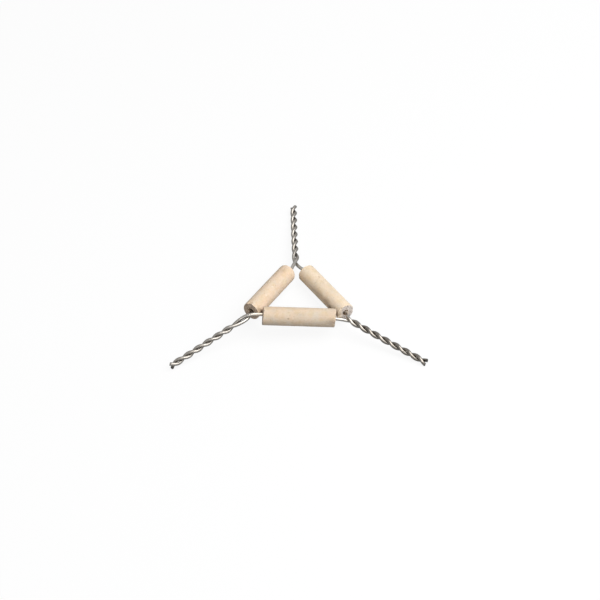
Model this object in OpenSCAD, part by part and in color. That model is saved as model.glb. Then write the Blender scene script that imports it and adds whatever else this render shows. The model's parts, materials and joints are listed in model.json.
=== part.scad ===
// Pipe clay triangle: three fireclay tubes, each strung on its own steel wire.
// The wires cross at the corners and are twisted together in pairs, and the
// three tails carry the triangle clear of the bench. Millimetres, +Z up. The
// origin is on the bench under the middle of the outline.
// Lists of three run in the order of the corners: right, left, back. A list
// that belongs to the tubes or wires runs front, left, right: each of these
// leaves the corner of its own number underneath and reaches the next one on
// top, so the three pieces follow each other round the triangle.

/* [Clay tubes: front, left, right] */
// Outside diameter of a tube
tube_d = 10; // [8:0.5:11]
// Length of each tube
tube_lens = [38.2, 38.9, 38.5]; // [30:0.1:39]
// Diameter of the hole along a tube
bore_d = 3.4; // [3.2:0.1:5]
// Worn edge at each end of a tube
rim_wear = 0.35; // [0.1:0.05:0.8]
// How far each tube has slid towards its second corner
tube_slides = [-0.2, -2.8, 2.3]; // [-3:0.1:3]
// How far the cut at each tube's first end leans off square, in degrees
lean_first = [3, 7.7, 0]; // [0:0.1:9]
// The side it cuts back, degrees round the tube from its underside
cut_first = [46, 63, 0]; // [-180:1:180]
// How far the cut at each tube's second end leans off square
lean_second = [3, 6.3, 0]; // [0:0.1:9]
// The side it cuts back
cut_second = [-134, 0, 0]; // [-180:1:180]

/* [Wire] */
// Diameter of the steel wire
wire_d = 1.8; // [1.4:0.05:2]
// Length of one full turn of a twisted tail
lay = 12.2; // [10:0.2:15]
// Gap between the two strands of a tail
strand_gap = 0.04; // [0.02:0.01:0.1]
// Gap between a wire and the mouth of the bore that bears on it
seat_gap = 0.12; // [0.05:0.01:0.3]

/* [Triangle seen from above] */
// Distance between the right and left crossings
front_span = 52.8; // [52:0.1:60]
// Distance from the left crossing to the back one
left_span = 54.6; // [53:0.1:60]
// How much less it is from the right crossing to the back one
span_skew = 0.1; // [-2:0.1:2]

/* [Twisted tails: right, left, back] */
// Length of each tail from its crossing to the cut ends
tail_lens = [47.1, 48.4, 47]; // [35:0.1:60]
// How far each tail bends down from level, in degrees
tail_droops = [10.2, 14.2, 4.6]; // [3:0.1:20]
// How far each tail swings off its corner's bisector, in degrees
tail_swings = [-0.9, -0.9, -0.2]; // [-5:0.1:5]
// How much longer than the rest the first half turn of each tail is
tail_slacks = [0, 5.1, 2.1]; // [0:0.1:6]
// How far the strands stand open in the middle of that first half turn
tail_eyes = [0, 0.15, 0.1]; // [0:0.05:0.5]
// How far the cut ends spring apart at the tip
tail_splays = [0.3, 0.6, 0.1]; // [0:0.1:1.5]
// Sideways bow of each tail at its middle
tail_bows = [-0.2, -0.2, 0.2]; // [-1.5:0.1:1.5]
// Upward bow of each tail at its middle
tail_humps = [0, -0.3, 0]; // [-1.5:0.1:1.5]

/* [Run of each wire: front, left, right] */
// Inward offset of the wire at its first bore mouth
run_in_first = [-0.1, -1.1, 0.0]; // [-2.5:0.1:2.5]
// Upward offset of the wire at its first bore mouth
run_up_first = [0.4, -1.5, 0.6]; // [-2.5:0.1:2.5]
// Inward offset of the wire at its second bore mouth
run_in_second = [0.7, 0.9, -2.3]; // [-2.5:0.1:2.5]
// Upward offset of the wire at its second bore mouth
run_up_second = [1.1, 0.0, -0.4]; // [-2.5:0.1:2.5]
// Where the wire bears at the first mouth, degrees from inward, 90 is the top
bear_first = [-90, -92, 62]; // [-180:1:180]
// Where the wire bears at the second mouth
bear_second = [52, 20, -175]; // [-180:1:180]

/* [Hidden] */
UP = [0, 0, 1];
WIRE_SIDES = 12;
TUBE_SIDES = 96;
RINGS_PER_TURN = 14;
BEND_STEPS = 8;
BEND_PULL = 0.4;
SPLAY_RUN = 7;
wire_r = wire_d / 2;
strand_r = (wire_d + strand_gap) / 2;
play = (bore_d - wire_d) / 2 - seat_gap;

function unit(v) = v / norm(v);
function column(points, i) = [for (p = points) p[i]];
function heading(v) = atan2(v.y, v.x);

// Corners in plan, the front side on the X axis
right_span = left_span - span_skew;
apex_x = (left_span ^ 2 - right_span ^ 2) / (2 * front_span);
apex_y = sqrt(left_span ^ 2 - (apex_x + front_span / 2) ^ 2);
plan = [[front_span / 2, 0, 0], [-front_span / 2, 0, 0], [apex_x, apex_y, 0]];

// Each tail has an axis that leaves its corner outward and downward, and two
// directions across it, the first one level
function bisector(c) = heading(
    unit(plan[c] - plan[(c + 1) % 3]) + unit(plan[c] - plan[(c + 2) % 3]));
tail_turns = [for (c = [0:2]) bisector(c) + tail_swings[c]];
axes = [for (c = [0:2]) [
    cos(tail_turns[c]) * cos(tail_droops[c]),
    sin(tail_turns[c]) * cos(tail_droops[c]),
    -sin(tail_droops[c])]];
across = [for (t = tail_turns) [-sin(t), cos(t), 0]];
above = [for (c = [0:2]) cross(axes[c], across[c])];

// A strand of tail c at s along its axis, seen from the crossing. Strand 0
// crosses on top and strand 1 underneath, and both turn right-handed.
first_halves = [for (slack = tail_slacks) lay / 2 + slack];
function eased(t) = t * t * (3 - 2 * t);
function taken_up(c, s) = tail_slacks[c] * eased(min(1, s / first_halves[c]));
function phase(c, s) = 90 + 360 * (s - taken_up(c, s)) / lay;
function eye(c, s) =
    tail_eyes[c] * sin(180 * min(1, s / first_halves[c])) ^ 2;
function sprung(c, s) =
    tail_splays[c] * (max(0, s - tail_lens[c] + SPLAY_RUN) / SPLAY_RUN) ^ 2;
function bow(c, s) =
    4 * s * (tail_lens[c] - s) / tail_lens[c] ^ 2
    * (tail_bows[c] * across[c] + tail_humps[c] * above[c]);
function strand_at(c, k, s) =
    axes[c] * s + bow(c, s)
    + (strand_r + eye(c, s) + sprung(c, s)) * (
        cos(phase(c, s) + 180 * k) * across[c]
        + sin(phase(c, s) + 180 * k) * above[c]);
function tail_rings(c) = round(RINGS_PER_TURN * tail_lens[c] / lay);
function strand_path(c, k) = [
    for (i = [0:tail_rings(c)])
        strand_at(c, k, tail_lens[c] * i / tail_rings(c))];
function backwards(path) = [for (i = [len(path) - 1:-1:0]) path[i]];

// Round section swept along a path of points
function direction(path, i) =
    unit(path[min(i + 1, len(path) - 1)] - path[max(i - 1, 0)]);
function ring(centre, along) =
    let (side = unit(cross(UP, along)), top = cross(along, side))
    [for (j = [0:WIRE_SIDES - 1])
        let (a = 360 * (j + 0.5) / WIRE_SIDES)
        centre + wire_r * (cos(a) * side + sin(a) * top)];
function skin(path) = [
    for (i = [0:len(path) - 1]) each ring(path[i], direction(path, i))];

// Each corner stands as high as its tail holds it off the bench
tail_skins = [for (c = [0:2]) concat(
    skin(strand_path(c, 0)), skin(strand_path(c, 1)))];
lifts = [for (s = tail_skins) -min(column(s, 2))];
outline = [for (c = [0:2]) each [for (p = tail_skins[c]) plan[c] + p]];
middle = [for (i = [0:1])
    (min(column(outline, i)) + max(column(outline, i))) / 2];
corners = [for (c = [0:2]) [
    plan[c].x - middle.x, plan[c].y - middle.y, lifts[c]]];

// Wire and tube w run from corner w to the next one
function corner_after(w) = corners[(w + 1) % 3];
runs = [for (w = [0:2]) unit(corner_after(w) - corners[w])];
inward = [for (r = runs) unit(cross(r, UP))];
upward = [for (w = [0:2]) cross(inward[w], runs[w])];
function along_run(w, end) =
    (corners[w] + corner_after(w)) / 2
    + runs[w] * (tube_slides[w] + end * tube_lens[w] / 2);
mouths_first = [for (w = [0:2]) along_run(w, -1)
    + run_in_first[w] * inward[w] + run_up_first[w] * upward[w]];
mouths_second = [for (w = [0:2]) along_run(w, 1)
    + run_in_second[w] * inward[w] + run_up_second[w] * upward[w]];
function bearing(w, angle) =
    play * (cos(angle) * inward[w] + sin(angle) * upward[w]);
tube_starts = [for (w = [0:2]) mouths_first[w] - bearing(w, bear_first[w])];
tube_ends = [for (w = [0:2]) mouths_second[w] - bearing(w, bear_second[w])];

// Bend from a bore mouth to the crossing: a cubic curve that leaves along the
// bore and arrives along the strand
function bend(from, leave, to, arrive) =
    let (reach = norm(to - from) * BEND_PULL,
         p1 = from + leave * reach,
         p2 = to - arrive * reach)
    [for (i = [1:BEND_STEPS - 1])
        let (t = i / BEND_STEPS, u = 1 - t)
        u ^ 3 * from + 3 * u ^ 2 * t * p1
        + 3 * u * t ^ 2 * p2 + t ^ 3 * to];
function strand_heading(c, k) =
    unit(strand_at(c, k, lay / 100) - strand_at(c, k, 0));
function wire_path(w) =
    let (b = (w + 1) % 3,
         bore = unit(mouths_second[w] - mouths_first[w]),
         tail_a = [for (p = strand_path(w, 1)) corners[w] + p],
         tail_b = [for (p = strand_path(b, 0)) corners[b] + p])
    concat(
        backwards(tail_a),
        backwards(bend(mouths_first[w], -bore,
            tail_a[0], strand_heading(w, 1))),
        [mouths_first[w], mouths_second[w]],
        bend(mouths_second[w], bore, tail_b[0], strand_heading(b, 0)),
        tail_b);

module swept_wire(path) {
    n = len(path);
    m = WIRE_SIDES;
    polyhedron(
        points = skin(path),
        faces = concat(
            [[for (j = [0:m - 1]) j]],
            [for (i = [0:n - 2], j = [0:m - 1])
                [i * m + j, (i + 1) * m + j,
                 (i + 1) * m + (j + 1) % m, i * m + (j + 1) % m]],
            [[for (j = [m - 1:-1:0]) (n - 1) * m + j]]));
}

module steel_wire(w) {
    color("dimgray") swept_wire(wire_path(w));
}

// Moves what stands on the origin along +Z to the line between two points
module along(from, to) {
    d = to - from;
    translate(from)
        rotate([0, acos(d.z / norm(d)), heading(d)])
            children();
}

module tube_blank(l) {
    r = tube_d / 2;
    b = bore_d / 2;
    w = rim_wear;
    rotate_extrude($fn = TUBE_SIDES)
        polygon([
            [b, w / 2], [b + w / 2, 0], [r - w, 0], [r, w],
            [r, l - w], [r - w, l], [b + w / 2, l], [b, l - w / 2]]);
}

// What the cut at a tube's first end takes off
module cut_away(lean, side) {
    wide = 2 * tube_d;
    rotate([0, -lean, side])
        translate([-wide / 2, -wide / 2, -tube_d])
            cube([wide, wide, tube_d]);
}

module clay_tube(w) {
    l = norm(tube_ends[w] - tube_starts[w]);
    grow_first = tube_d / 2 * tan(lean_first[w]);
    grow_second = tube_d / 2 * tan(lean_second[w]);
    color("antiquewhite")
        along(tube_starts[w], tube_ends[w])
            difference() {
                translate([0, 0, -grow_first])
                    tube_blank(l + grow_first + grow_second);
                if (lean_first[w] > 0)
                    cut_away(lean_first[w], cut_first[w]);
                if (lean_second[w] > 0)
                    translate([0, 0, l]) mirror([0, 0, 1])
                        cut_away(lean_second[w], cut_second[w]);
            }
}

module clay_tube_front() {
    clay_tube(0);
}

module clay_tube_left() {
    clay_tube(1);
}

module clay_tube_right() {
    clay_tube(2);
}

module wire_front() {
    steel_wire(0);
}

module wire_left() {
    steel_wire(1);
}

module wire_right() {
    steel_wire(2);
}

clay_tube_front();
clay_tube_left();
clay_tube_right();
wire_front();
wire_left();
wire_right();
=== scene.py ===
# Pipe clay triangle: three fireclay tubes, each strung loose on its own steel
# wire. The wires cross at the corners and are twisted together in pairs, so
# that three tails carry the triangle clear of the bench.
import json
import math
import random

import bpy
import numpy as np
from mathutils import Matrix, Vector, noise


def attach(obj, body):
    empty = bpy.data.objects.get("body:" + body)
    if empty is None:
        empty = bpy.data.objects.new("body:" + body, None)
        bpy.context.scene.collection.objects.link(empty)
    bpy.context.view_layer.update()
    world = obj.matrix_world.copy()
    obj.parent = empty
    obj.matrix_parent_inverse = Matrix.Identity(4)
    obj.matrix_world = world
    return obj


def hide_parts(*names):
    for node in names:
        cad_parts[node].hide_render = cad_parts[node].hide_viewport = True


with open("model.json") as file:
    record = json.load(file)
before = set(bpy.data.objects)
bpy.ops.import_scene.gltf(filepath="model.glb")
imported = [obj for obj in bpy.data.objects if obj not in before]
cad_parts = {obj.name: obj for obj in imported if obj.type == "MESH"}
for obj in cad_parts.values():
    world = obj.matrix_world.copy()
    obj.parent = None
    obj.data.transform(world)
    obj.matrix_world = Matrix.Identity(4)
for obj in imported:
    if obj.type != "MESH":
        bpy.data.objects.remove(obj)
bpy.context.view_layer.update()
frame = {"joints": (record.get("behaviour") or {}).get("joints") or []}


# ---- Clay tubes ------------------------------------------------------------
# Three short lengths of fireclay pipe, pushed through a die, sliced while soft
# and fired. Each is strung loose on its own wire and turns on it; the fired
# ends are chipped and worn, and the skin keeps faint lines from the die.
MM = 0.001
TUBE_D = 10 * MM
BORE_D = 3.4 * MM
# Rounding of the worn edges, outside and at the mouth of the bore
RIM_WEAR = 0.42 * MM
MOUTH_WEAR = 0.22 * MM

# Points round a tube, and steps or rings along each part of its skin
ROUND_STEPS = 192
BARREL_STEPS = 170
BORE_STEPS = 34
MOUTH_RINGS = 5
FACE_RINGS = 14
RIM_RINGS = 8
# How much closer the steps stand near the two ends
CROWDING = 0.6
BARREL, BORE, FIRST_FACE, SECOND_FACE = range(4)

# Lumps and grain of the clay
LUMP_SIZE = 4.5 * MM
LUMP_DEPTH = 0.05 * MM
GRAIN_SIZE = 0.8 * MM
GRAIN_DEPTH = 0.025 * MM
# Grain of the end faces, where the clay is torn and not rubbed smooth
FACE_GRAIN_DEPTH = 0.05 * MM
# Lines from the die: size as a share of the tube's radius, depth, and the length
# along the tube that counts as one radius
DIE_LINE_SIZE = 0.06
DIE_LINE_DEPTH = 0.02 * MM
DIE_LINE_STRETCH = 30 * MM
# Marks of the slicing on the end faces, which waver over a longer size
SLICE_SIZE = 0.18 * MM
SLICE_DEPTH = 0.03 * MM
SLICE_WAVER = 2
SLICE_WAVER_SIZE = 1.5 * MM

# Pinholes scattered over the barrel: their number, their reach in mm before each
# is shrunk a little at random, their depth, and how far the ends stay clear
PITS = 150
PIT_REACH = (0.16, 0.42)
PIT_DEPTH = 0.09 * MM
PIT_MARGIN = 0.3 * MM
# How strongly a pit and a chip are shaded
PIT_MARK = 0.8
CHIP_MARK = 0.6
# A chip reaches a little further along the tube than round it
CHIP_STRETCH = np.array([1, 1, 0.8])

# Colours of the finish. A grain of grog shows only where its own random value
# is over the rarity
GROG_RARITY = 0.62
YELLOW_CLOUD = (0.93, 0.90, 0.76)
ASH_CLOUD = (0.86, 0.88, 0.93)
DIE_STREAK = (0.80, 0.66, 0.50)
FINE_GRAIN = (0.74, 0.66, 0.56)
COARSE_GRAIN = (0.88, 0.83, 0.76)
DARK_GROG = (0.42, 0.27, 0.15)
PALE_GROG = (0.93, 0.88, 0.78)
PIT_SHADE = (0.50, 0.38, 0.26)
# Soot, and the painted shade laid on with it in the crevices between the tubes
SOOT_AND_SHADE = (0.20, 0.135, 0.08)
FACE_GRAIN = (0.42, 0.34, 0.29)
BORE_SHADE = (0.34, 0.23, 0.14)


def end_rings():
    """(radius, distance back from the end face) from the bore out to the barrel."""
    rings = []
    for i in range(MOUTH_RINGS):
        a = i / (MOUTH_RINGS - 1) * math.pi / 2
        rings.append((BORE_D / 2 + MOUTH_WEAR * (1 - math.cos(a)), MOUTH_WEAR * (1 - math.sin(a))))
    inner, outer = BORE_D / 2 + MOUTH_WEAR, TUBE_D / 2 - RIM_WEAR
    for i in range(1, FACE_RINGS + 1):
        rings.append((inner + (outer - inner) * i / (FACE_RINGS + 1), 0))
    for i in range(RIM_RINGS):
        a = i / (RIM_RINGS - 1) * math.pi / 2
        rings.append((outer + RIM_WEAR * math.sin(a), RIM_WEAR * (1 - math.cos(a))))
    return rings


def spaced_along(steps):
    """Shares of a tube's length between its two ends, closer together near both."""
    t = np.linspace(0, 1, steps + 1)[1:-1]
    return t - CROWDING * np.sin(2 * np.pi * t) / (2 * np.pi)


def cut_height(x, y, lean, side):
    """Height over square of an end cut that leans back on one side, in degrees."""
    side = math.radians(side)
    return math.tan(math.radians(lean)) * (x * math.cos(side) + y * math.sin(side))


def tube_skin(length, lean_first, cut_first, lean_second, cut_second):
    """Closed skin of a tube standing on the origin along +Z, with both end cuts."""
    turn = np.arange(ROUND_STEPS) / ROUND_STEPS * 2 * np.pi
    rows = [(r, 0, back, FIRST_FACE) for r, back in end_rings()]
    rows += [(TUBE_D / 2, share, RIM_WEAR, BARREL) for share in spaced_along(BARREL_STEPS)]
    rows += [(r, 1, back, SECOND_FACE) for r, back in end_rings()[::-1]]
    rows += [(BORE_D / 2, share, MOUTH_WEAR, BORE) for share in spaced_along(BORE_STEPS)[::-1]]
    grid = np.zeros((len(rows), ROUND_STEPS, 3))
    for i, (r, share, back, _) in enumerate(rows):
        x, y = r * np.cos(turn), r * np.sin(turn)
        low = cut_height(x, y, lean_first, cut_first)
        high = length - cut_height(x, y, lean_second, cut_second)
        z = low + back + share * (high - low - 2 * back)
        grid[i] = np.stack([x, y, z], -1)
    return grid, np.array([row[3] for row in rows])


def skin_normals(grid):
    """Direction straight out of the skin at each point."""
    across = np.roll(grid, -1, 1) - np.roll(grid, 1, 1)
    along = np.roll(grid, -1, 0) - np.roll(grid, 1, 0)
    n = np.cross(across, along)
    return n / np.maximum(np.linalg.norm(n, axis=-1, keepdims=True), 1e-12)


def on_parts(part_of, *parts):
    """1 at each point of the named parts of the skin, and 0 elsewhere."""
    return np.isin(part_of, parts)[:, None] * np.ones(ROUND_STEPS)


def on_barrel(turn, z):
    """The point of the barrel at that turn and height."""
    return np.array([math.cos(turn) * TUBE_D / 2, math.sin(turn) * TUBE_D / 2, z])


def clay_grain(points, size, seed):
    """Fractal noise in about -1..1 at each point, for lumps of that size."""
    shift = Vector((seed * 7.3, seed * 3.1, seed * 5.7))
    flat = points.reshape(-1, 3) / size
    out = [noise.fractal(Vector(p) + shift, 0.9, 2.1, 4) for p in flat]
    return np.array(out).reshape(points.shape[:-1])


def worn_tube(grid, part_of, seed, chips, smudges_and_shade):
    """Skin with lumps, die lines, slicing marks, pits and chips, and its two masks: pits, and
    smudges with painted shade.
    """
    normals = skin_normals(grid)
    rng = random.Random(seed)
    length = grid[..., 2].max()
    angle = np.arctan2(grid[..., 1], grid[..., 0])
    outer = on_parts(part_of, BARREL, FIRST_FACE, SECOND_FACE)
    faces = on_parts(part_of, FIRST_FACE, SECOND_FACE)
    lumps = 0.5 + 0.5 * clay_grain(grid, LUMP_SIZE, seed)
    rough = 0.5 + 0.5 * clay_grain(grid, GRAIN_SIZE, seed + 11)
    ring = np.stack([np.cos(angle), np.sin(angle), grid[..., 2] / DIE_LINE_STRETCH], -1)
    lines = 0.5 + 0.5 * clay_grain(ring, DIE_LINE_SIZE, seed + 23)
    depth = outer * (LUMP_DEPTH * lumps + GRAIN_DEPTH * rough)
    depth += on_parts(part_of, BARREL) * DIE_LINE_DEPTH * lines
    strokes = (grid[..., 0] * math.cos(seed) + grid[..., 1] * math.sin(seed)) / SLICE_SIZE
    waver = SLICE_WAVER * clay_grain(grid, SLICE_WAVER_SIZE, seed + 5)
    slicing = 0.5 + 0.5 * np.sin(strokes + waver)
    depth += faces * (SLICE_DEPTH * slicing + FACE_GRAIN_DEPTH * rough)
    mark = np.zeros(grid.shape[:2])
    for _ in range(PITS):
        a, z = rng.uniform(0, 2 * math.pi), rng.uniform(PIT_MARGIN, length - PIT_MARGIN)
        wide = rng.uniform(*PIT_REACH) * MM * rng.uniform(0.6, 1)
        far = np.linalg.norm(grid - on_barrel(a, z), axis=-1) / wide
        near = np.clip(1 - far ** 2, 0, 1)
        depth += PIT_DEPTH * near * rng.uniform(0.5, 1)
        mark = np.maximum(mark, PIT_MARK * near)
    for a, z, wide, deep in chips:
        z = z * MM if z >= 0 else length + z * MM
        centre = on_barrel(math.radians(a), z)
        far = np.linalg.norm((grid - centre) * CHIP_STRETCH, axis=-1) / (wide * MM)
        near = np.clip(1 - (far * (0.8 + 0.5 * rough)) ** 2, 0, 1)
        depth += outer * deep * MM * near
        mark = np.maximum(mark, CHIP_MARK * np.sqrt(near) * outer)
    # Smudges of soot, specks and ash, and painted shade laid on the clay as smudges in crevices and
    # on a shaded underside
    soil_and_shade = np.zeros(grid.shape[:2])
    for a, z, around, along, dark in smudges_and_shade:
        swing = (angle - math.radians(a) + math.pi) % (2 * math.pi) - math.pi
        sideways = swing * TUBE_D / 2 / (around * MM)
        lengthways = (grid[..., 2] - z * MM) / (along * MM)
        far = sideways ** 2 + lengthways ** 2
        soil_and_shade = np.maximum(soil_and_shade, dark * np.exp(-far * (0.5 + rough)))
    return grid - normals * depth[..., None], mark, soil_and_shade * outer


def ring_mesh(name, grid):
    """Mesh over a grid of rings that closes both ways round."""
    n, m = grid.shape[:2]
    i, j = np.meshgrid(np.arange(n), np.arange(m), indexing="ij")
    quads = np.stack([
        i * m + j, i * m + (j + 1) % m,
        (i + 1) % n * m + (j + 1) % m, (i + 1) % n * m + j], -1)
    mesh = bpy.data.meshes.new(name)
    mesh.from_pydata(grid.reshape(-1, 3).tolist(), [], quads.reshape(-1, 4).tolist())
    mesh.polygons.foreach_set("use_smooth", [True] * len(mesh.polygons))
    return mesh


def mask_on(mesh, name, values):
    """Keep one value for each point of a mesh, for its finish to read."""
    mesh.attributes.new(name, "FLOAT", "POINT").data.foreach_set(
        "value", values.astype(np.float32).ravel())


def new_finish(name):
    """A new material, its node tree and its shader."""
    material = bpy.data.materials.new(name)
    material.use_nodes = True
    return material, material.node_tree, material.node_tree.nodes["Principled BSDF"]


def feed(tree, socket, value):
    """Set a socket to a number or a colour, or link another node's output to it."""
    if isinstance(value, bpy.types.NodeSocket):
        tree.links.new(value, socket)
    elif isinstance(value, tuple):
        socket.default_value = (*value, 1)
    else:
        socket.default_value = value


def figured(tree, operation, *values):
    """Result of one step of arithmetic."""
    step = tree.nodes.new("ShaderNodeMath")
    step.operation = operation
    for socket, value in zip(step.inputs, values):
        feed(tree, socket, value)
    return step.outputs["Value"]


def ranged(tree, value, source=(0, 1), result=(0, 1)):
    """Value carried from one range of numbers to another, and held inside it."""
    spread = tree.nodes.new("ShaderNodeMapRange")
    for end, number in zip(("From Min", "From Max", "To Min", "To Max"), source + result):
        spread.inputs[end].default_value = number
    tree.links.new(value, spread.inputs["Value"])
    return spread.outputs["Result"]


def mask(tree, name):
    """Reading of a mask kept on the mesh."""
    reading = tree.nodes.new("ShaderNodeAttribute")
    reading.attribute_name = name
    return reading.outputs["Fac"]


def placed(tree, scale, shift=(0, 0, 0)):
    """The piece's own coordinates in metres, times a scale along each axis."""
    where = tree.nodes.new("ShaderNodeTexCoord")
    mapping = tree.nodes.new("ShaderNodeMapping")
    mapping.inputs["Scale"].default_value = scale
    mapping.inputs["Location"].default_value = shift
    tree.links.new(where.outputs["Object"], mapping.inputs["Vector"])
    return mapping.outputs["Vector"]


def cloud(tree, vector, detail, least, most, crisp=0.5):
    """Cloudy noise, 0 where it is under its least value and 1 over its most."""
    texture = tree.nodes.new("ShaderNodeTexNoise")
    texture.inputs["Scale"].default_value = 1
    texture.inputs["Detail"].default_value = detail
    texture.inputs["Roughness"].default_value = crisp
    tree.links.new(vector, texture.inputs["Vector"])
    return ranged(tree, texture.outputs["Fac"], (least, most))


def specks(tree, vector, reach):
    """Round grains of grog: 1 in the middle of a grain, and 0 between them."""
    dots = tree.nodes.new("ShaderNodeTexVoronoi")
    dots.inputs["Scale"].default_value = 1
    tree.links.new(vector, dots.inputs["Vector"])
    split = tree.nodes.new("ShaderNodeSeparateColor")
    tree.links.new(dots.outputs["Color"], split.inputs["Color"])
    shown = figured(tree, "GREATER_THAN", split.outputs["Red"], GROG_RARITY)
    inside = ranged(tree, dots.outputs["Distance"], (reach, reach * 0.4))
    return figured(tree, "MULTIPLY", inside, shown)


def painted(tree, colour, coats):
    """A colour under coats of (colour, where it lies, its greatest share, blend)."""
    for over, share, most, blend in coats:
        mix = tree.nodes.new("ShaderNodeMix")
        mix.data_type = "RGBA"
        mix.blend_type = blend
        feed(tree, mix.inputs["Factor"], figured(tree, "MULTIPLY", share, most))
        feed(tree, mix.inputs["A"], colour)
        feed(tree, mix.inputs["B"], over)
        colour = mix.outputs["Result"]
    return colour


def roughened(tree, shader, height, strength, deep):
    """Fine relief that shows in the light and leaves the mesh as it is."""
    bump = tree.nodes.new("ShaderNodeBump")
    bump.inputs["Strength"].default_value = strength
    bump.inputs["Distance"].default_value = deep
    tree.links.new(height, bump.inputs["Height"])
    tree.links.new(bump.outputs["Normal"], shader.inputs["Normal"])


def fireclay(name, pale, warm, face, seed):
    """Fired clay: cloudy cream colour, die streaks, grog specks, pits and soot, with painted shade
    and light.
    """
    material, tree, shader = new_finish(name)
    shader.inputs["Specular IOR Level"].default_value = 0.25
    shader.inputs["Sheen Weight"].default_value = 0.12
    shader.inputs["Sheen Roughness"].default_value = 0.5

    def scaled(x, y, z):
        """Coordinates for a texture, shifted so that no two tubes match."""
        return placed(tree, (x, y, z), (seed * 1.7, seed * 2.9, seed * 4.1))

    clouds = cloud(tree, scaled(220, 220, 160), 5, 0.34, 0.66, 0.6)
    yellow = cloud(tree, scaled(410, 410, 330), 6, 0.46, 0.66, 0.6)
    ashy = cloud(tree, scaled(150, 150, 110), 6, 0.5, 0.7, 0.6)
    streaks = cloud(tree, scaled(1500, 1500, 60), 3, 0.3, 0.7, 0.6)
    grain = cloud(tree, scaled(3200, 3200, 3200), 6, 0.3, 0.72, 0.6)
    coarse = cloud(tree, scaled(1300, 1300, 1300), 5, 0.4, 0.62, 0.6)
    dark_grog = specks(tree, scaled(520, 520, 520), 0.16)
    pale_grog = specks(tree, scaled(330, 330, 330), 0.22)
    face_grain = figured(tree, "MULTIPLY", coarse, mask(tree, "cut_face"))
    colour = painted(tree, pale, (
        (warm, clouds, 1, "MIX"),
        (YELLOW_CLOUD, yellow, 0.75, "MULTIPLY"),
        (ASH_CLOUD, ashy, 0.7, "MULTIPLY"),
        (DIE_STREAK, streaks, 0.16, "MULTIPLY"),
        (FINE_GRAIN, grain, 0.28, "MULTIPLY"),
        (COARSE_GRAIN, coarse, 0.32, "MULTIPLY"),
        (DARK_GROG, dark_grog, 0.55, "MIX"),
        (PALE_GROG, pale_grog, 0.35, "MIX"),
        (PIT_SHADE, mask(tree, "pit"), 0.55, "MIX"),
        # Soot and specks, and painted shade in the crevices between the tubes and on the right
        # tube's inner underside
        (SOOT_AND_SHADE, mask(tree, "smudge_and_shade"), 0.95, "MULTIPLY"),
        # End faces in each tube's face colour, partly painted light and shade
        (face, mask(tree, "cut_face"), 0.9, "MIX"),
        (FACE_GRAIN, face_grain, 0.7, "MULTIPLY"),
        (BORE_SHADE, mask(tree, "bore"), 0.75, "MIX")))
    feed(tree, shader.inputs["Base Color"], colour)
    feed(tree, shader.inputs["Roughness"], ranged(tree, grain, result=(0.82, 0.97)))
    roughened(tree, shader, figured(tree, "ADD", grain, streaks), 0.65, 0.04 * MM)
    return material


# One entry for each tube, in mm and degrees. Turns go round the tube from its
# underside, and places run from its first end.
# cuts: lean off square and the side it cuts back, at the first and second end
# chips: turn, place (from the second end where it is below 0), reach, depth
# smudges_and_shade: turn, place, reach around and along, darkness; soot, specks and painted shade
# skin_over: the side on which the fired skin runs on over the end faces
# pale, warm and face: colours of the barrel and of the end faces; the face colours are partly
# painted light and shade
TUBES = (
    dict(node="clay_tube_front", body="front_tube", seed=1, length=38.2,
         cuts=(3, 46, 3, -134), skin_over=None,
         pale=(0.795, 0.695, 0.575), warm=(0.835, 0.66, 0.50), face=(0.72, 0.60, 0.47),
         chips=((150, 0, 1.1, 0.25), (-20, 0, 1.4, 0.3), (60, -0.1, 0.9, 0.25),
                (-100, 0, 0.8, 0.2), (170, -0.1, 0.8, 0.2), (98, 0.3, 1.3, 0.3),
                (121, 25.1, 0.4, 0.25)),
         smudges_and_shade=((121, 25.1, 0.35, 0.35, 0.75), (112, 2.5, 1.5, 2.5, 0.35),
                  (150, 19, 1.5, 4, 0.12))),
    dict(node="clay_tube_left", body="left_tube", seed=2, length=38.9,
         cuts=(7.7, 63, 6.3, 0), skin_over=None,
         # This face colour is partly painted shade, darker than the tube's own clay
         pale=(0.855, 0.725, 0.585), warm=(0.895, 0.685, 0.515), face=(0.68, 0.54, 0.41),
         chips=((-120, 0.2, 1.5, 0.35), (10, 0, 1.0, 0.25), (-60, 0, 0.9, 0.25),
                (120, -0.1, 1.2, 0.3), (-20, -0.1, 0.8, 0.2), (35, -0.1, 0.9, 0.2),
                (165, 0, 1.7, 0.5)),
         # The first two smudges are painted shade, in the crevice where this tube meets the front
         # one
         smudges_and_shade=((-94, 2.5, 1.4, 1.5, 1), (-80, 3.2, 2, 1.6, 1), (-179, 33.8, 1.2, 2, 0.2))),
    dict(node="clay_tube_right", body="right_tube", seed=3, length=38.5,
         cuts=(0, 0, 0, 0), skin_over=-95,
         # This face colour is partly painted light, paler than the other tubes' faces
         pale=(0.955, 0.83, 0.67), warm=(0.98, 0.80, 0.605), face=(0.95, 0.87, 0.81),
         chips=((166, 11.1, 0.8, 0.4), (40, 0, 1.2, 0.3), (-90, 0, 0.9, 0.25),
                (-20, -0.1, 1.1, 0.3), (90, -0.1, 0.8, 0.25), (-150, -0.1, 0.9, 0.25)),
         # The first four smudges are painted shade along this tube's inner underside, darker
         # towards its second end
         smudges_and_shade=((-114, 20, 1.4, 7, 0.28), (-113, 27, 1.4, 3, 0.42), (-98, 31, 1.4, 2.5, 0.8),
                  (-102, 37.2, 1.3, 1.5, 0.9), (166, 11.1, 0.4, 0.4, 0.3))),
)
# The fired skin ends this far in from the barrel, on the worn edge
SKIN_EDGE = RIM_WEAR * 0.7

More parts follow.
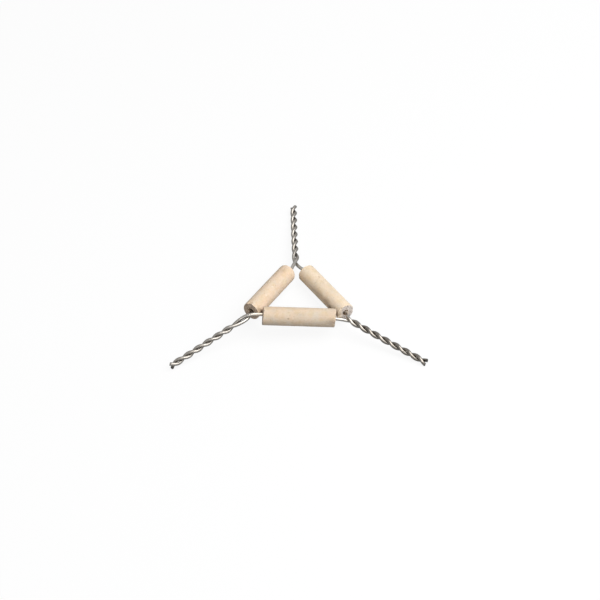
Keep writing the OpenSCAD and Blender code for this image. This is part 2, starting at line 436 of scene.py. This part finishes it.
spins = {joint["child"]: joint for joint in frame["joints"]}
for tube in TUBES:
    spin = spins[tube["body"]]
    axis = Vector(spin["axis"]).normalized()
    start = Vector(spin["pos_m"]) - axis * tube["length"] * MM / 2
    stand = (Matrix.Translation(start)
             @ Matrix.Rotation(math.atan2(axis.y, axis.x), 4, "Z")
             @ Matrix.Rotation(math.acos(axis.z), 4, "Y"))
    grid, part_of = tube_skin(tube["length"] * MM, *tube["cuts"])
    worn, pits, soil_and_shade = worn_tube(grid, part_of, tube["seed"], tube["chips"], tube["smudges_and_shade"])
    mesh = ring_mesh(tube["node"] + "_skin", worn)
    radius = np.hypot(grid[..., 0], grid[..., 1])
    bare = on_parts(part_of, FIRST_FACE, SECOND_FACE) * (radius < TUBE_D / 2 - SKIN_EDGE)
    if tube["skin_over"] is not None:
        # The bare cut fades out between 0.3 and 0.63 of the radius on that side
        towards = math.radians(tube["skin_over"])
        reach = (grid[..., 0] * math.cos(towards) + grid[..., 1] * math.sin(towards)) / (TUBE_D / 2)
        bare = bare * np.clip(1.9 - 3 * reach, 0, 1)
    mask_on(mesh, "pit", pits)
    mask_on(mesh, "smudge_and_shade", soil_and_shade)
    mask_on(mesh, "cut_face", bare)
    mask_on(mesh, "bore", on_parts(part_of, BORE))
    mesh.materials.append(fireclay(
        "fireclay_" + tube["body"], tube["pale"], tube["warm"], tube["face"], tube["seed"]))
    piece = bpy.data.objects.new(tube["body"] + "_clay", mesh)
    bpy.context.scene.collection.objects.link(piece)
    piece.matrix_world = stand
    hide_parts(tube["node"])
    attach(piece, tube["body"])


# ---- Steel wires -----------------------------------------------------------
# Three lengths of soft steel wire, drawn bright and dulled by the flame. Each
# runs through its tube, crosses its neighbours at two corners, and is twisted
# right-handed with them; the tails are nipped off with side cutters.

# Lengths are in mm until the mesh is made
WIRE_D = 1.8
# One full turn of a twisted tail, and the gap between its two strands
LAY = 12.2
STRAND_GAP = 0.04
STRAND_R = (WIRE_D + STRAND_GAP) / 2

# The corners where the wires cross, and the tail at each: right, left, back
CROSSINGS = tuple(np.array(corner) for corner in (
    (26.7555, -34.6398, 9.7832), (-26.0445, -34.6398, 14.1192), (0.4588, 13.0963, 5.4452)))
TAIL_LENS = (47.1, 48.4, 47.0)
# Bend down from level and swing off the corner's bisector, in degrees
TAIL_DROOPS = (10.2, 14.2, 4.6)
TAIL_SWINGS = (-0.9, -0.9, -0.2)
# Extra length of the first half turn, and how far the strands stand open in it
TAIL_SLACKS = (0, 5.1, 2.1)
TAIL_EYES = (0, 0.15, 0.1)
# How far the cut ends spring apart, and the last stretch over which they do
TAIL_SPLAYS = (0.3, 0.6, 0.1)
SPLAY_RUN = 7
# Bow of a tail at its middle, sideways and upward
TAIL_BOWS = (-0.2, -0.2, 0.2)
TAIL_HUMPS = (0, -0.3, 0)
# Oxide and dullness of each tail's strands; the oxide is partly painted shade, darkest on the right
# tail
TAIL_OXIDE_AND_SHADE = (0.72, 0.42, 0.42)
TAIL_DULLS = (0, 0.7, 0.4)

# The wires: front, left, right. Each tube's slide towards its second corner,
# and the wire's offset inward and upward at the tube's first and second mouth
SLIDES = (-0.2, -2.8, 2.3)
RUN_IN = ((-0.1, 0.7), (-1.1, 0.9), (0.0, -2.3))
RUN_UP = ((0.4, 1.1), (-1.5, 0.0), (0.6, -0.4))
# Clay dust on each wire at its tube's first mouth and at its second, partly painted light and
# reflection of the clay
FIRST_MOUTH_DUST_AND_REFLECTION = 0.15
MOUTH_DUST_AND_REFLECTION = (0.8, 0.2, 0.9)
# Oxide on the run between the tails
RUN_STAIN = 0.1

# The nipped ends: depth of the blunt edge, lengths over which its shape and its
# dark colour run out, and sizes of the rings that close it
NIP_DEPTH = 0.45
NIP_RUN = 2
NIP_SHADE_RUN = 0.9
NIP_RINGS = (0.75, 0.45, 0.0)

# Points round a wire, and steps along its tails, bends and straight run
WIRE_SIDES = 28
STEPS_PER_TURN = 56
BEND_STEPS = 22
STRAIGHT_POINTS = 40
# How far a bend's curve holds the headings of its two ends
BEND_HOLD = 0.4

# Shares of a wire's length. A tail's colour gives way to the run's between the
# first two of these, and the run's to the other tail's between the last two
TAIL_FADES = (0.28, 0.34, 0.66, 0.72)
# The dust and painted reflection starts, is faint at the first mouth, grows inside the tube, lies
# full up to the second mouth and ends past it
DUST_AND_REFLECTION_FADES = (0.34, 0.38, 0.6, 0.635, 0.665)

# Colours of the finish
BRIGHT_STEEL = (0.70, 0.67, 0.62)
DULL_STEEL = (0.53, 0.49, 0.435)
DRAW_MARKS = (0.30, 0.26, 0.21)
# Oxide, also laid on the tails as painted shade
OXIDE_AND_SHADE_TONE = (0.13, 0.105, 0.08)
# Painted shade where a strand faces the strand twisted beside it
GROOVE_SHADE = (0.10, 0.085, 0.065)
# Clay dust, also used as painted light and reflection of the clay on the wire
CLAY_DUST_AND_REFLECTION = (0.66, 0.55, 0.43)
NIPPED_EDGE = (0.05, 0.045, 0.04)


def unit(v):
    """Direction of a vector."""
    return v / np.linalg.norm(v)


def tail_frame(c):
    """The tail's axis, the level direction across it and the upward one."""
    level = np.array([1, 1, 0])
    out = (unit((CROSSINGS[c] - CROSSINGS[(c + 1) % 3]) * level)
           + unit((CROSSINGS[c] - CROSSINGS[(c + 2) % 3]) * level))
    turn = math.atan2(out[1], out[0]) + math.radians(TAIL_SWINGS[c])
    droop = math.radians(TAIL_DROOPS[c])
    axis = np.array([
        math.cos(turn) * math.cos(droop), math.sin(turn) * math.cos(droop), -math.sin(droop)])
    side = np.array([-math.sin(turn), math.cos(turn), 0])
    return axis, side, np.cross(axis, side)


def strand_at(c, k, s):
    """Points of strand k of tail c, s mm from the crossing along the tail."""
    axis, side, above = tail_frame(c)
    s = np.asarray(s, float)[..., None]
    half = LAY / 2 + TAIL_SLACKS[c]
    t = np.minimum(1, s / half)
    turn = np.pi / 2 + 2 * np.pi * (s - TAIL_SLACKS[c] * t * t * (3 - 2 * t)) / LAY + np.pi * k
    bow = 4 * s * (TAIL_LENS[c] - s) / TAIL_LENS[c] ** 2
    out = (STRAND_R + TAIL_EYES[c] * np.sin(np.pi * t) ** 2
           + TAIL_SPLAYS[c] * (np.maximum(0, s - TAIL_LENS[c] + SPLAY_RUN) / SPLAY_RUN) ** 2)
    return (axis * s + bow * (TAIL_BOWS[c] * side + TAIL_HUMPS[c] * above)
            + out * (np.cos(turn) * side + np.sin(turn) * above))


def strand(c, k):
    """Centre line of a strand out to its tip. Strand 0 crosses on top, strand 1 under it."""
    steps = np.linspace(0, TAIL_LENS[c], round(STEPS_PER_TURN * TAIL_LENS[c] / LAY))
    return CROSSINGS[c] + strand_at(c, k, steps)


def strand_heading(c, k):
    """Direction in which a strand leaves its crossing."""
    return unit(strand_at(c, k, LAY / 100) - strand_at(c, k, 0))


def bend(start, leave, end, arrive):
    """Cubic curve from a bore mouth to a crossing, without its two ends."""
    reach = np.linalg.norm(end - start) * BEND_HOLD
    t = np.linspace(0, 1, BEND_STEPS + 1)[1:-1, None]
    u = 1 - t
    return (u ** 3 * start + 3 * u ** 2 * t * (start + leave * reach)
            + 3 * u * t ** 2 * (end - arrive * reach) + t ** 3 * end)


def frames_along(path):
    """Tangent and two directions across it at each point, carried along smoothly."""
    tangent = np.gradient(path, axis=0)
    tangent /= np.linalg.norm(tangent, axis=1, keepdims=True)
    side = [unit(np.cross([0, 0, 1], tangent[0]))]
    for t in tangent[1:]:
        side.append(unit(side[-1] - t * np.dot(side[-1], t)))
    side = np.array(side)
    return tangent, side, np.cross(tangent, side)


def wire_route(w):
    """Centre line of wire w, and the strand that lies beside each of its points."""
    a, b = w, (w + 1) % 3
    run = unit(CROSSINGS[b] - CROSSINGS[a])
    inward = unit(np.cross(run, [0, 0, 1]))
    upward = np.cross(inward, run)
    half_tube = TUBES[w]["length"] / 2
    mouths = [(CROSSINGS[a] + CROSSINGS[b]) / 2 + run * (SLIDES[w] + end * half_tube)
              + RUN_IN[w][i] * inward + RUN_UP[w][i] * upward
              for i, end in enumerate((-1, 1))]
    bore = unit(mouths[1] - mouths[0])
    tail_a, tail_b = strand(a, 1), strand(b, 0)
    bend_a = bend(mouths[0], -bore, tail_a[0], strand_heading(a, 1))[::-1]
    bend_b = bend(mouths[1], bore, tail_b[0], strand_heading(b, 0))
    straight = np.linspace(mouths[0], mouths[1], STRAIGHT_POINTS)
    path = np.concatenate([tail_a[::-1], bend_a, straight, bend_b, tail_b])
    alone = np.full((len(bend_a) + len(straight) + len(bend_b), 3), np.nan)
    return path, np.concatenate([strand(a, 0)[::-1], alone, strand(b, 1)])


def wire_marks(share, from_end, tail_oxide_and_shade, dulls, dust_and_reflection):
    """Masks along a wire: nipped ends, oxide with painted shade, dullness, and clay dust with
    painted reflection.
    """
    marks = {
        "nipped": np.clip(1 - from_end / NIP_SHADE_RUN, 0, 1),
        "oxide_and_shade": np.interp(share, TAIL_FADES, (tail_oxide_and_shade[0], RUN_STAIN, RUN_STAIN, tail_oxide_and_shade[1])),
        "dull": np.interp(share, TAIL_FADES, (dulls[0], 0, 0, dulls[1])),
        "dust_and_reflection": np.interp(share, DUST_AND_REFLECTION_FADES, (0, FIRST_MOUTH_DUST_AND_REFLECTION, dust_and_reflection, dust_and_reflection, 0)),
    }
    return {what: np.repeat(value, WIRE_SIDES) for what, value in marks.items()}


def wire_mesh(name, path, beside, tail_oxide_and_shade, dulls, dust_and_reflection):
    """Round wire along a path, with both ends nipped to a blunt edge."""
    tangent, side, above = frames_along(path)
    turn = np.arange(WIRE_SIDES) / WIRE_SIDES * 2 * np.pi
    facing = np.cos(turn)[:, None] * side[:, None] + np.sin(turn)[:, None] * above[:, None]
    rings = path[:, None] + WIRE_D / 2 * facing
    run = np.concatenate([[0], np.cumsum(np.linalg.norm(np.diff(path, axis=0), axis=1))])
    from_end = np.minimum(run, run[-1] - run)
    inwards = np.where(run < run[-1] / 2, 1, -1)
    slant = np.clip(1 - from_end / NIP_RUN, 0, 1) ** 2 * inwards * NIP_DEPTH
    rings += tangent[:, None] * slant[:, None, None] * np.abs(np.sin(turn))[:, None]
    marks = wire_marks(run / run[-1], from_end, tail_oxide_and_shade, dulls, dust_and_reflection)
    other = beside - path
    other /= np.linalg.norm(other, axis=1, keepdims=True)
    # Painted shade on the side of each tail strand that faces its neighbour
    marks["groove_shade"] = np.clip(np.nan_to_num((facing * other[:, None]).sum(-1)), 0, 1).ravel()
    verts = rings.reshape(-1, 3)
    n, m = len(path), WIRE_SIDES
    faces = [(i * m + j, i * m + (j + 1) % m, (i + 1) * m + (j + 1) % m, (i + 1) * m + j)
             for i in range(n - 1) for j in range(m)]
    for row, first in ((0, True), (n - 1, False)):
        before = [row * m + j for j in range(m)]
        for size in NIP_RINGS:
            new = path[row] + (rings[row] - path[row]) * size
            new = new if size else new[:1]
            after = [len(verts) + j % len(new) for j in range(m)]
            verts = np.concatenate([verts, new])
            for what in marks:
                marks[what] = np.append(marks[what], [what == "nipped"] * len(new))
            for j in range(m):
                quad = (before[j], before[(j + 1) % m], after[(j + 1) % m], after[j])
                quad = quad if size else quad[:3]
                faces.append(quad[::-1] if first else quad)
            before = after
    # No point of a tail goes below the bench it rests on
    verts[:, 2] = np.maximum(verts[:, 2], 0)
    mesh = bpy.data.meshes.new(name)
    mesh.from_pydata((verts * MM).tolist(), [], faces)
    mesh.polygons.foreach_set("use_smooth", [True] * len(mesh.polygons))
    for what, value in marks.items():
        mask_on(mesh, what, value)
    return mesh


def drawn_steel():
    """Bare steel wire: fine draw marks, dull oxide in patches, painted shade in the grooves and on
    the tails, clay dust with painted reflection.
    """
    material, tree, shader = new_finish("drawn_steel")
    patches = cloud(tree, placed(tree, (300, 300, 300)), 5, 0.42, 0.68)
    fine = cloud(tree, placed(tree, (2600, 2600, 2600)), 4, 0.35, 0.7)
    colour = painted(tree, BRIGHT_STEEL, (
        (DULL_STEEL, patches, 0.8, "MIX"),
        (DRAW_MARKS, fine, 0.3, "MIX"),
        # Oxide on the run, and on the tails oxide with painted shade that differs from tail to tail
        (OXIDE_AND_SHADE_TONE, mask(tree, "oxide_and_shade"), 0.9, "MIX"),
        # Painted shade in the grooves between twisted strands
        (GROOVE_SHADE, mask(tree, "groove_shade"), 0.7, "MIX"),
        # Clay dust near the mouths, partly painted light and reflection of the clay
        (CLAY_DUST_AND_REFLECTION, mask(tree, "dust_and_reflection"), 0.75, "MIX"),
        (NIPPED_EDGE, mask(tree, "nipped"), 0.85, "MIX")))
    rough = ranged(tree, fine, result=(0.19, 0.29))
    dulled = figured(tree, "MULTIPLY_ADD", mask(tree, "dull"), 0.25, rough)
    metal_shown = figured(tree, "MULTIPLY_ADD", mask(tree, "dust_and_reflection"), -0.75, 1)
    feed(tree, shader.inputs["Base Color"], colour)
    feed(tree, shader.inputs["Roughness"], dulled)
    feed(tree, shader.inputs["Metallic"], metal_shown)
    roughened(tree, shader, fine, 0.12, 0.02 * MM)
    return material


steel = drawn_steel()
for w, node in enumerate(("wire_front", "wire_left", "wire_right")):
    second = (w + 1) % 3
    # Oxide and painted shade at the wire's two tails
    tail_oxide_and_shade = (TAIL_OXIDE_AND_SHADE[w], TAIL_OXIDE_AND_SHADE[second])
    dulls = (TAIL_DULLS[w], TAIL_DULLS[second])
    mesh = wire_mesh(node + "_drawn", *wire_route(w), tail_oxide_and_shade, dulls, MOUTH_DUST_AND_REFLECTION[w])
    mesh.materials.append(steel)
    piece = bpy.data.objects.new(node + "_steel", mesh)
    bpy.context.scene.collection.objects.link(piece)
    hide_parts(node)
    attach(piece, "wire_frame")


# ---- Floor -----------------------------------------------------------------
# Plain white studio sweep that the triangle stands on. It shows white, keeps
# the soft shadow, and throws only a little light back up at the object.
FLOOR_HALF = 8.0
# How far the floor lies under the tails, so that they never cut into it
FLOOR_DROP = 0.05 * MM
# Colour that lights the object from below, colour shown, and how much of the
# shown colour is its own glow, which takes no shadow
THROWN_GREY = (0.40, 0.41, 0.42)
SHOWN_WHITE = (0.92, 0.92, 0.92)
OWN_GLOW = 0.9


def matt(tree, colour):
    """Matt surface of one plain colour."""
    shader = tree.nodes.new("ShaderNodeBsdfDiffuse")
    feed(tree, shader.inputs["Color"], colour)
    return shader.outputs["BSDF"]


def blended(tree, share, under, over):
    """Two shaders mixed, the second by that share."""
    mix = tree.nodes.new("ShaderNodeMixShader")
    feed(tree, mix.inputs["Fac"], share)
    tree.links.new(under, mix.inputs[1])
    tree.links.new(over, mix.inputs[2])
    return mix.outputs["Shader"]


def white_floor():
    """Floor that looks white to the camera and grey to everything else."""
    material, tree, shader = new_finish("white_floor")
    tree.nodes.remove(shader)
    glow = tree.nodes.new("ShaderNodeEmission").outputs["Emission"]
    shown = blended(tree, OWN_GLOW, matt(tree, SHOWN_WHITE), glow)
    seen = tree.nodes.new("ShaderNodeLightPath").outputs["Is Camera Ray"]
    floor_shader = blended(tree, seen, matt(tree, THROWN_GREY), shown)
    tree.links.new(floor_shader, tree.nodes["Material Output"].inputs["Surface"])
    return material


mesh = bpy.data.meshes.new("floor")
corners = [(x * FLOOR_HALF, y * FLOOR_HALF, 0) for x, y in ((-1, -1), (1, -1), (1, 1), (-1, 1))]
mesh.from_pydata(corners, [], [(0, 1, 2, 3)])
mesh.materials.append(white_floor())
floor = bpy.data.objects.new("floor", mesh)
bpy.context.scene.collection.objects.link(floor)
floor.location.z = -FLOOR_DROP


# ---- Light and camera ------------------------------------------------------
# A wide soft lamp overhead, leaning to the right, a smaller one in front, and a
# dim grey room that is brighter where a glossy surface mirrors it.

# Each lamp: name, direction from the object, distance and width in metres, watts
LAMPS = (
    ("overhead_softbox", Vector((0.44, -0.14, 0.88)), 0.9, 0.95, 9.2),
    ("front_card", Vector((-0.12, -0.72, 0.68)), 1.5, 0.5, 2.6),
)
# Colour and strength of the room, and of the room as a glossy surface shows it
ROOM = ((0.95, 0.97, 1.0), 0.2)
MIRRORED_ROOM = ((0.97, 0.98, 1.0), 0.6)
# The camera's angle above level, its turn off straight ahead, its distance in
# metres from the point it looks at, and its lens in mm and shift
ELEVATION = math.radians(46.2)
YAW = math.radians(1.83)
AWAY = 1.2
LOOKS_AT = Vector((0.27, -18.69, 10.14)) * MM
LENS = 135.8
SHIFT_X = 0.0044
SHIFT_Y = -0.0025

for name, towards, away, size, energy in LAMPS:
    lamp = bpy.data.lights.new(name, "AREA")
    lamp.shape = "DISK"
    lamp.size = size
    lamp.energy = energy
    lamp_object = bpy.data.objects.new(name, lamp)
    bpy.context.scene.collection.objects.link(lamp_object)
    lamp_object.location = towards.normalized() * away
    lamp_object.rotation_euler = towards.to_track_quat("Z", "Y").to_euler()

world = bpy.data.worlds.new("grey_room")
world.use_nodes = True
tree = world.node_tree
room = tree.nodes["Background"]
mirrored_room = tree.nodes.new("ShaderNodeBackground")
for shade, (colour, strength) in ((room, ROOM), (mirrored_room, MIRRORED_ROOM)):
    feed(tree, shade.inputs["Color"], colour)
    feed(tree, shade.inputs["Strength"], strength)
glossy = tree.nodes.new("ShaderNodeLightPath").outputs["Is Glossy Ray"]
around = blended(tree, glossy, room.outputs["Background"], mirrored_room.outputs["Background"])
tree.links.new(around, tree.nodes["World Output"].inputs["Surface"])
bpy.context.scene.world = world

ahead = Vector((
    math.sin(YAW) * math.cos(ELEVATION),
    math.cos(YAW) * math.cos(ELEVATION),
    -math.sin(ELEVATION)))
camera = bpy.data.cameras.new("camera")
camera.lens = LENS
camera.shift_x = SHIFT_X
camera.shift_y = SHIFT_Y
camera_object = bpy.data.objects.new("camera", camera)
bpy.context.scene.collection.objects.link(camera_object)
camera_object.location = LOOKS_AT - ahead * AWAY
camera_object.rotation_euler = ahead.to_track_quat("-Z", "Y").to_euler()
bpy.context.scene.camera = camera_object
bpy.context.scene.view_settings.view_transform = "Standard"
